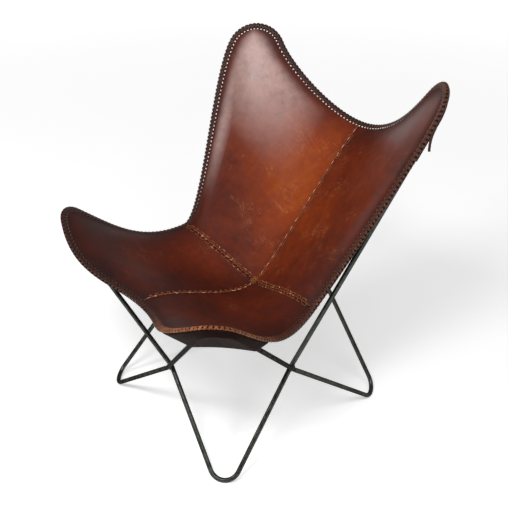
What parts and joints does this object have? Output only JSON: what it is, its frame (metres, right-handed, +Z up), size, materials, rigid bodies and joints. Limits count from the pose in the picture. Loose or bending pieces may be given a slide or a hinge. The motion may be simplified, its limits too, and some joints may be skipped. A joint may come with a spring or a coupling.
{
  "type": "butterfly sling chair",
  "caption": "Low lounge chair: a laced leather sling with wide wings hangs by corner pockets on a frame of crossing bent iron rods.",
  "frame": {"origin": "middle of the floor under the chair's outer box, on the plane the feet stand on", "axes": "+Z up; the sitter faces -Y; +X is the sitter's left"},
  "size_m": [0.7404, 0.7712, 0.9074],
  "materials": {
    "frame_iron": "near-black iron rod, hand-worn, soft grey-green sheen",
    "weld_iron": "blackened weld bead, rough",
    "sling_leather": "thick chestnut hide, waxed and worn glossy, scratched and mottled",
    "pocket_leather": "very dark brown hide, matte",
    "lacing_leather": "dark braided thong, worn pale on the ridges",
    "seam_leather": "brown thong in running stitches"
  },
  "bodies": {
    "root": {"edge_lacing_front_left": "lacing_leather", "edge_lacing_front_right": "lacing_leather", "edge_lacing_rear_left": "lacing_leather", "edge_lacing_rear_right": "lacing_leather", "foot_rod_front_left": "frame_iron", "foot_rod_front_right": "frame_iron", "foot_rod_rear_left": "frame_iron", "foot_rod_rear_right": "frame_iron", "horn_pocket_front_left": "pocket_leather", "horn_pocket_front_right": "pocket_leather", "horn_pocket_rear_left": "pocket_leather", "horn_pocket_rear_right": "pocket_leather", "horn_rod_front_left": "frame_iron", "horn_rod_front_right": "frame_iron", "horn_rod_rear_left": "frame_iron", "horn_rod_rear_right": "frame_iron", "lace_tail": "lacing_leather", "seam_lace_back": "seam_leather", "seam_lace_front": "seam_leather", "seam_lace_left": "seam_leather", "seam_lace_right": "seam_leather", "seat_rosette": "seam_leather", "sling_panel_front_left": "sling_leather", "sling_panel_front_right": "sling_leather", "sling_panel_rear_left": "sling_leather", "sling_panel_rear_right": "sling_leather", "weld_front": "weld_iron", "weld_left": "weld_iron", "weld_rear": "weld_iron", "weld_right": "weld_iron"}
  },
  "joints": []
}
